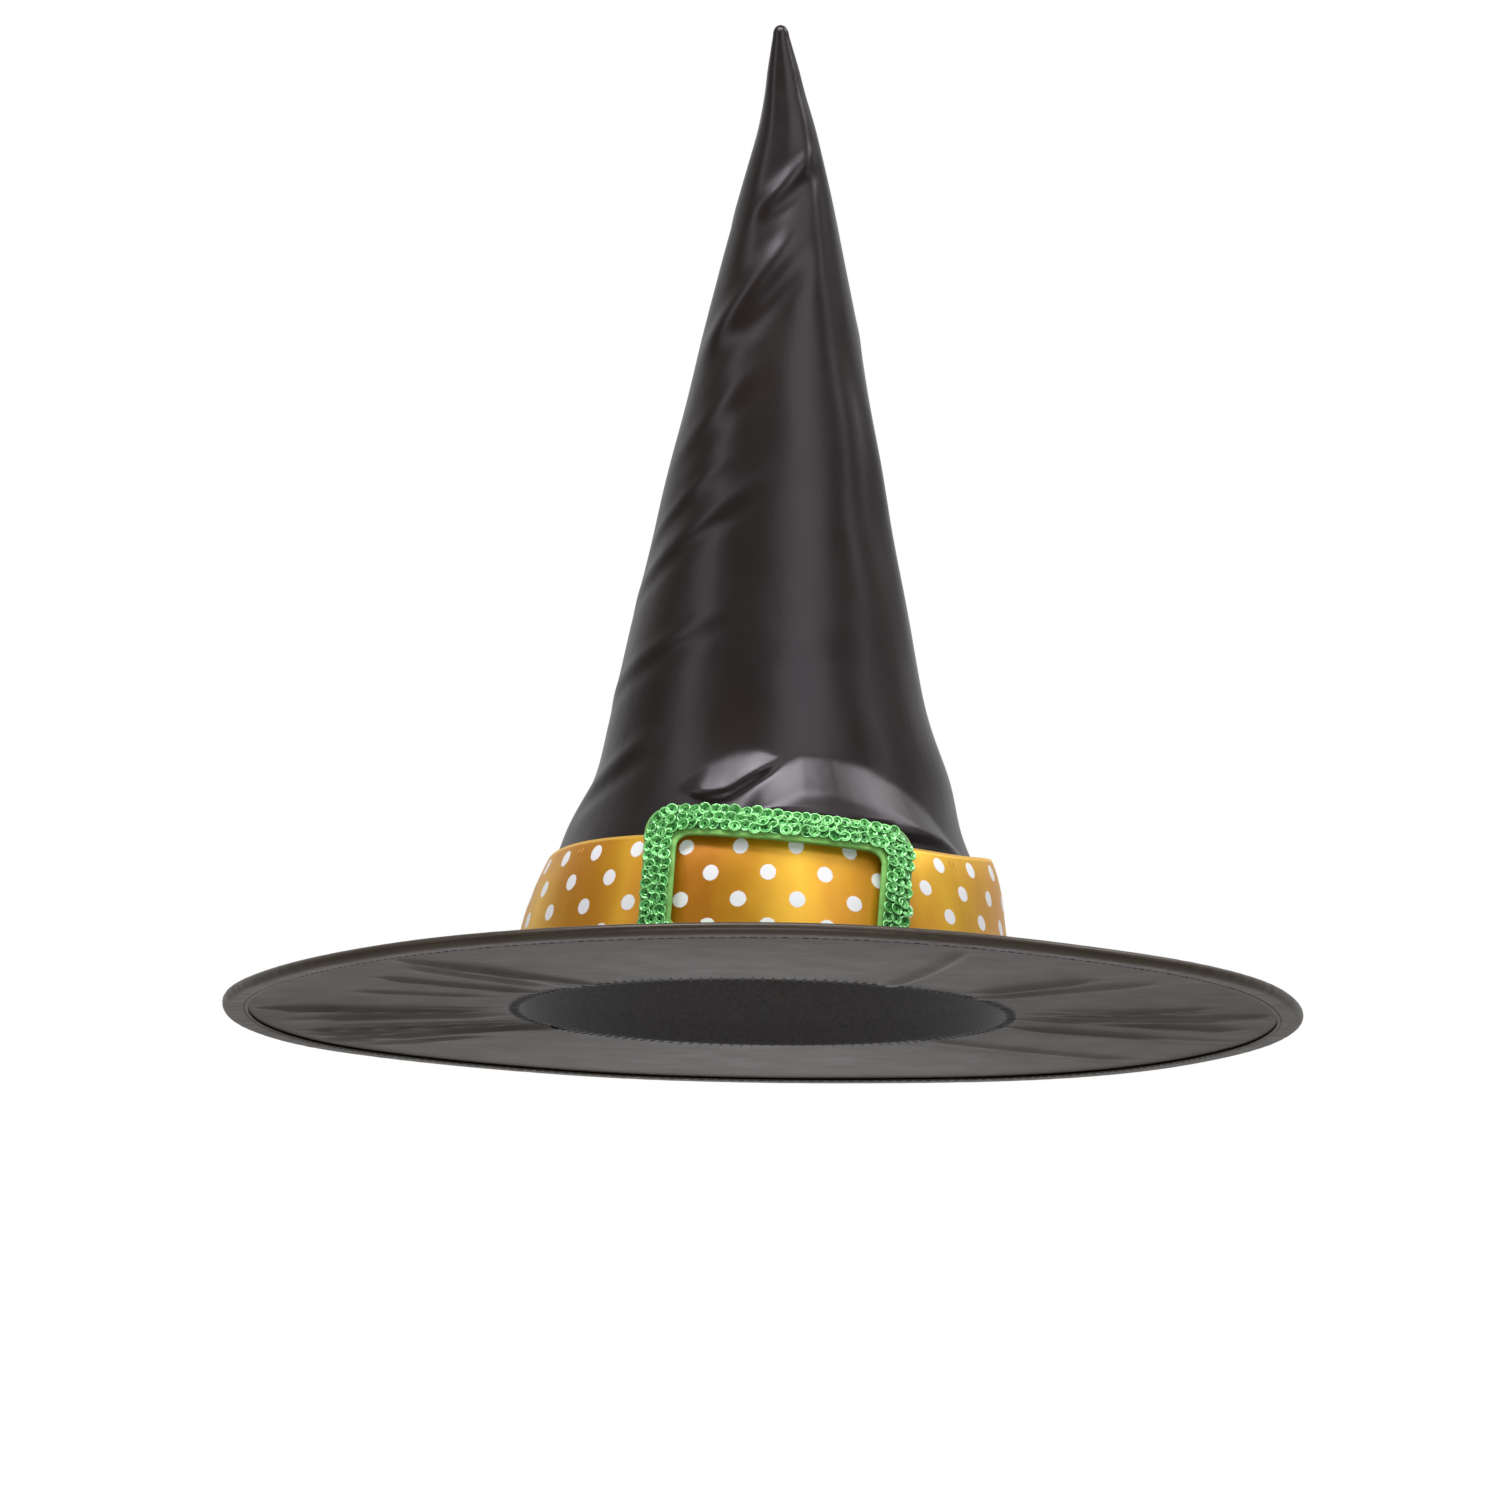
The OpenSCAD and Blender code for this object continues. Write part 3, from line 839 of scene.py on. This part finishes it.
def ribbon_point(azimuth, share, lap=0.0):
    """A point on the ribbon's inner face: share runs from its lower edge to its upper one."""
    rise = 4.2 * bell(turn_between(azimuth, 1.55), 0, 0.4) - 1.4 * bell(turn_between(azimuth, -1.55), 0, 0.4)
    tilt = (rise + 1.5 * bell(turn_between(azimuth, 0.15), 0, 0.3) - 1.8 * np.sin(azimuth)) * MM * share
    z_cad = BAND_LOW + (BAND_TOP - BAND_LOW) * share
    loose = smooth_step(share, 0.45, 1.0)
    ease = 0.5 + 0.5 * wobble(azimuth, share * 0.01, 17)
    stand = loose * (0.25 * MM + 0.9 * MM * np.clip(ease, 0, 1.3) + 2.4 * MM * bell(turn_between(azimuth, 1.5), 0, 0.35))
    stand = stand - 1.3 * MM * loose * bell(turn_between(azimuth, -1.5), 0, 0.5)
    billow = 0.45 * MM * wobble(azimuth * 3, share * 0.02, 23) * (0.35 + np.sin(math.pi * share))
    r = ribbon_in(z_cad) + stand + billow + lap
    return at(azimuth, r, z_cad + tilt)


def make_ribbon():
    cols, rows = 760, 34
    lap_angle = 22 * MM / ribbon_in(BAND_LOW)
    azimuth = np.linspace(-math.pi, math.pi + lap_angle, cols)
    share = np.linspace(0, 1, rows)
    a, s = np.meshgrid(azimuth, share)
    over = smooth_step(a, math.pi - 0.10, math.pi - 0.02)
    points = ribbon_point(a, s, over * (RIBBON + 0.25 * MM))
    mean_r = ribbon_in((BAND_LOW + BAND_TOP) / 2)
    uv = (azimuth * mean_r, share * RIBBON_WIDTH)
    ribbon = sheet_object("ribbon", points, closed=False, uv=uv)
    thicken(ribbon, RIBBON, 1)
    finish_piece(ribbon, ribbon_material("orange_ribbon", RIBBON_WIDTH), ("hat_band",))
    places = []
    for degrees in (55, 105, 155, 205, 255, 305):
        a = math.radians(degrees)
        for side in (-1, 1):
            here, above = [
                Vector(ribbon_point(np.array([a + side * 0.012]), np.array([t]))[0]) for t in (0.93, 0.95)
            ]
            out = Vector((here.x, here.y, 0)).normalized() * (RIBBON + 0.1 * MM)
            places.append((here + out, above - here, 2.6 * MM, THREAD))
    capsules("ribbon_tacks", places, THREAD_ORANGE, ("hat_band_tacks",))


# ---------------------------------------------------------------- buckle


def buckle_point(x, y, off):
    """Flat place x, y of the frame, off the ribbon's face by off, bent round the crown."""
    c, s = math.cos(BUCKLE_TILT), math.sin(BUCKLE_TILT)
    flat_x, z = x * c + y * s, BUCKLE_Z + y * c - x * s
    r = buckle_back(z) + off
    return at(BUCKLE_TURN + np.arcsin(flat_x / r), r, z)


def round_rectangle(w, h, radius, per_corner, per_side, low=None):
    """Points round a rectangle with round corners, starting at the top right, anticlockwise.
    The two lower corners can have a radius of their own."""
    upper, low = radius, radius if low is None else low
    points = []
    for k, (sx, sy) in enumerate([(1, 1), (-1, 1), (-1, -1), (1, -1)]):
        radius = upper if sy > 0 else low
        centre = np.array([sx * (w / 2 - radius), sy * (h / 2 - radius)])
        angles = math.pi / 2 * (k + np.linspace(0, 1, per_corner))
        arc = centre + radius * np.stack([np.cos(angles), np.sin(angles)], -1)
        points.append(arc)
        turn = math.pi / 2 * (k + 1)
        sx2, sy2 = [(-1, 1), (-1, -1), (1, -1), (1, 1)][k]
        radius = upper if sy2 > 0 else low
        next_centre = np.array([sx2 * (w / 2 - radius), sy2 * (h / 2 - radius)])
        next_start = next_centre + radius * np.array([math.cos(turn), math.sin(turn)])
        t = np.linspace(0, 1, per_side + 2)[1:-1, None]
        points.append(arc[-1] * (1 - t) + next_start * t)
    return np.concatenate(points)


def frame_loop(name, section, edge_noise=0.0):
    """A closed loop round the buckle: section lists (share across the bar from outside, height off the back)."""
    outer = round_rectangle(BUCKLE_W, BUCKLE_H, BUCKLE_CORNER, 24, 46)
    inner = round_rectangle(BUCKLE_W - 2 * BAR, BUCKLE_H - 2 * BAR, 5 * MM, 24, 46, 2 * MM)
    g = np.random.default_rng(5)
    rows = []
    for share, off in section:
        flat = outer * (1 - share) + inner * share
        jitter = g.normal(size=len(flat)) * edge_noise
        rows.append(buckle_point(flat[:, 0], flat[:, 1], off + jitter))
    rows.append(rows[0])
    obj = sheet_object(name, np.array(rows))
    weld(obj)
    return obj


def make_buckle():
    f = FOAM
    body = [(0.04, 0), (0.01, 0.06 * f), (0, 0.2 * f), (0, 0.8 * f), (0.012, 0.93 * f), (0.04, f)]
    body += [(0.25, f), (0.5, f), (0.75, f)]
    body += [(0.95, f), (0.985, 0.93 * f), (1, 0.82 * f), (1, 0.2 * f), (0.985, 0.06 * f), (0.95, 0)]
    body += [(0.7, 0), (0.4, 0)]
    base = frame_loop("buckle_base", body, 0.03 * MM)
    finish_piece(base, FOAM_GREEN, ("buckle_foam",))
    face = f + 0.15 * MM
    low, high = 0.5 * MM / BAR, (BAR - LIP) / BAR
    cloth = [(low, face), (low, face + 0.4 * MM), (0.3, face + 0.5 * MM), (0.6, face + 0.5 * MM),
             (high, face + 0.4 * MM), (high, face), (0.6, face), (0.3, face)]
    backing = frame_loop("buckle_cloth", cloth, 0.02 * MM)
    finish_piece(backing, CLOTH_GREEN, ("buckle_sequin_cloth",))
    make_sequins(face + 0.5 * MM)


def sequin_points(radius, sides=14):
    """One cup-shaped sequin with a hole, in its own axes: rings from the hole out."""
    rings = [(0.2, 0.0), (0.45, -0.02), (0.7, 0.02), (0.8, 0.13), (0.91, 0.16), (1.0, 0.06)]
    top = [
        (radius * share * math.cos(TAU * k / sides), radius * share * math.sin(TAU * k / sides), radius * lift)
        for share, lift in rings
        for k in range(sides)
    ]
    faces = []
    for ring in range(len(rings) - 1):
        for k in range(sides):
            a, b = ring * sides + k, ring * sides + (k + 1) % sides
            faces.append((a, b, b + sides, a + sides))
    return np.array(top), faces


def make_sequins(off):
    g = np.random.default_rng(31)
    verts, faces = [], []
    rows = 3
    usable = BAR - LIP - 0.5 * MM
    for row in range(rows):
        inset = 0.5 * MM + usable * (row + 0.5) / rows
        w, h = BUCKLE_W - 2 * inset, BUCKLE_H - 2 * inset
        loop = round_rectangle(w, h, max(BUCKLE_CORNER - 0.5 * inset, 1.5 * MM), 20, 60)
        loop = np.concatenate([loop, loop[:1]])
        reach = np.concatenate([[0], np.cumsum(np.linalg.norm(np.diff(loop, axis=0), axis=1))])
        count = int(reach[-1] / (3.5 * MM))
        stops = (np.arange(count) + 0.5 * (row % 2) + g.uniform(-0.12, 0.12, count)) * reach[-1] / count
        for stop in stops % reach[-1]:
            x, y = [np.interp(stop, reach, loop[:, k]) for k in (0, 1)]
            ahead = [np.interp((stop + 0.3 * MM) % reach[-1], reach, loop[:, k]) for k in (0, 1)]
            x, y = x + g.normal() * 0.3 * MM, y + g.normal() * 0.3 * MM
            lift = off + g.uniform(0.1, 0.7) * MM
            here = Vector(buckle_point(x, y, lift))
            out = (Vector(buckle_point(x, y, lift + 1 * MM)) - here).normalized()
            up = (Vector(buckle_point(x, y + 0.2 * MM, lift)) - here).normalized()
            side = (Vector(buckle_point(x + 0.2 * MM, y, lift)) - here).normalized()
            normal = side.cross(up).normalized()
            if normal.dot(out) < 0:
                normal.negate()
            run = (Vector(buckle_point(*ahead, lift)) - here).normalized()
            # shingled along the bar, each a little askew
            normal = (normal + run * g.normal(0.18, 0.11) + normal.cross(run) * g.normal(0.04, 0.12)).normalized()
            turn = normal.to_track_quat("Z", "Y").to_matrix() @ Matrix.Rotation(g.uniform(0, TAU), 3, "Z")
            points, quads = sequin_points(g.uniform(2.2, 2.5) * MM)
            base = len(verts)
            verts += [here + turn @ Vector(p) for p in points]
            faces += [tuple(base + i for i in q) for q in quads]
    obj = mesh_object("sequins", verts, faces)
    # painted highlight weights per ring: none on the face, paler on the rolled outer rings
    painted_rim_highlight = obj.data.attributes.new("painted_rim_highlight", "FLOAT", "POINT")
    painted_rim_highlight.data.foreach_set("value", np.tile(np.repeat([0, 0, 0.05, 0.6, 1, 0.6], 14), len(verts) // 84))
    thicken(obj, 0.12 * MM, 0)
    finish_piece(obj, SEQUIN_GREEN, ("buckle_sequins",))


# ---------------------------------------------------------------- put it together

make_crown()
make_interlining()
make_seam()
hoop_radius, cloth_radius = make_brim()
make_board(hoop_radius, cloth_radius)
make_binding()
make_sweatband()
make_ribbon()
make_buckle()

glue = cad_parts["buckle_glue_dabs"]
glue.data.materials.clear()
glue.data.materials.append(GLUE)

# ---------------------------------------------------------------- studio


def aim(obj, target, roll=0.0):
    direction = Vector(target) - obj.location
    turn = direction.to_track_quat("-Z", "Y").to_matrix()
    obj.rotation_euler = (turn @ Matrix.Rotation(roll, 3, "Z")).to_euler()


def softbox(name, azimuth, elevation, distance, width, height, power, target=(0, 0, 0.15)):
    light = bpy.data.lights.new(name, "AREA")
    light.shape = "RECTANGLE"
    light.size, light.size_y = width, height
    light.energy = power
    obj = bpy.data.objects.new(name, light)
    a, e = math.radians(azimuth), math.radians(elevation)
    obj.location = Vector(target) + distance * Vector(
        (math.sin(a) * math.cos(e), -math.cos(a) * math.cos(e), math.sin(e))
    )
    bpy.context.scene.collection.objects.link(obj)
    aim(obj, target)


def make_world():
    """A white sweep behind and below the hat, and a dimmer room in front of it."""
    world = bpy.data.worlds.new("studio")
    bpy.context.scene.world = world
    world.use_nodes = True
    tree = world.node_tree
    background = tree.nodes["Background"]
    background.inputs["Color"].default_value = (1, 1, 1, 1)
    coords, split = tree.nodes.new("ShaderNodeTexCoord"), tree.nodes.new("ShaderNodeSeparateXYZ")
    tree.links.new(coords.outputs["Generated"], split.inputs["Vector"])
    room = tree.nodes.new("ShaderNodeMapRange")
    room.interpolation_type = "SMOOTHSTEP"
    room.inputs["From Min"].default_value, room.inputs["From Max"].default_value = 0.1, 0.95
    room.inputs["To Min"].default_value, room.inputs["To Max"].default_value = 0.14, 0.8
    tree.links.new(split.outputs["Y"], room.inputs["Value"])
    seen, choose = tree.nodes.new("ShaderNodeLightPath"), tree.nodes.new("ShaderNodeMath")
    choose.operation = "MAXIMUM"
    tree.links.new(seen.outputs["Is Camera Ray"], choose.inputs[0])
    tree.links.new(room.outputs["Result"], choose.inputs[1])
    tree.links.new(choose.outputs[0], background.inputs["Strength"])


def make_studio():
    bpy.context.scene.view_settings.view_transform = "Standard"
    make_world()
    # the photograph looks up at the brim, so the floor lies below the camera
    floor = mesh_object("floor", [(-8, -14, -1.7), (8, -14, -1.7), (8, 8, -1.7), (-8, 8, -1.7)], [(0, 1, 2, 3)])
    paint = Nodes("floor_paint")
    paint.colour(paint.ramp(paint.noise(4), [(0.3, (0.80, 0.80, 0.80)), (0.7, (0.84, 0.84, 0.84))]))
    paint.set(Roughness=0.8, Emission_Color=(1, 1, 1, 1), Emission_Strength=0.15)
    floor.data.materials.append(paint.material)
    softbox("overhead", -8, 70, 1.4, 1.1, 0.5, 19)
    softbox("high_left", -42, 58, 1.5, 0.5, 0.4, 4.5)
    softbox("high_right", 103, 48, 1.5, 0.9, 0.5, 6.5)
    softbox("strip_left", -64, 28, 1.6, 0.5, 0.9, 2.6)
    softbox("strip_front", 26, 30, 1.6, 1.0, 0.9, 5.8)
    softbox("strip_right", 86, 26, 1.6, 0.3, 1.1, 1.8)
    softbox("front_fill", 0, -20, 2.2, 1.5, 0.8, 17)


def make_camera():
    """Far off and level with the wearer's chin, looking up at the brim, rolled a little."""
    camera = bpy.data.cameras.new("camera")
    camera.sensor_width = 36
    obj = bpy.data.objects.new("camera", camera)
    distance = 10.0
    field = 0.3515 * MM * 1500
    camera.lens = camera.sensor_width * distance / field
    below = math.radians(7.7)
    brim_centre = Vector((0, 0, EDGE_Z / 2))
    obj.location = brim_centre + distance * Vector((0, -math.cos(below), -math.sin(below)))
    # the brim's centre lies 258 of 1500 parts under the middle of the frame, the crown a little right of it
    rise = 259 / 1500 * field
    aim(obj, brim_centre + Vector((-6.0 * MM, 0, rise / math.cos(below))), math.radians(1.0))
    camera.clip_start, camera.clip_end = 0.1, 60
    bpy.context.scene.collection.objects.link(obj)
    bpy.context.scene.camera = obj


make_studio()
make_camera()
